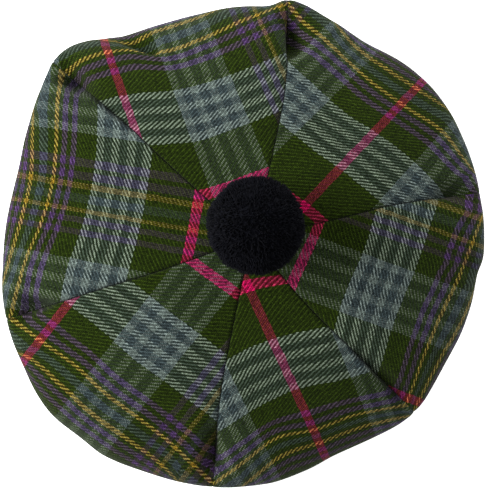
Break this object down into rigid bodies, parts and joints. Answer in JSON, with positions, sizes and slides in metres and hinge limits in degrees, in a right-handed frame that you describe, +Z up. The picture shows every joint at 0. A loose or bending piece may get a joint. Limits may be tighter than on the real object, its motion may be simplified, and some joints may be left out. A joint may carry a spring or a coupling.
{
  "type": "tam o shanter",
  "caption": "Soft wide-crowned tartan bonnet of wedge-shaped gores sewn to a round cloth headband, with a wool pompom at the tip, lying on its headband.",
  "frame": {"origin": "on the surface that the hat lies on, under the middle of the crown's outline and at the centre of the headband's ring", "axes": "+Z up, from the headband to the pompom; +Y towards the side that the pompom leans to; +X to its right seen from above"},
  "size_m": [0.2794, 0.2811, 0.1188],
  "materials": {
    "tartan_cloth": "matt twill-woven wool in a green, grey, violet, yellow and pink tartan",
    "band_cloth": "the same tartan cloth folded double, with a row of stitching near its lower edge",
    "pompom_wool": "dense cut wool pile, near black and matt"
  },
  "bodies": {
    "root": {"crown_gore_1": "tartan_cloth", "crown_gore_2": "tartan_cloth", "crown_gore_3": "tartan_cloth", "crown_gore_4": "tartan_cloth", "crown_gore_5": "tartan_cloth", "crown_gore_6": "tartan_cloth", "headband": "band_cloth", "pompom": "pompom_wool"}
  },
  "joints": []
}
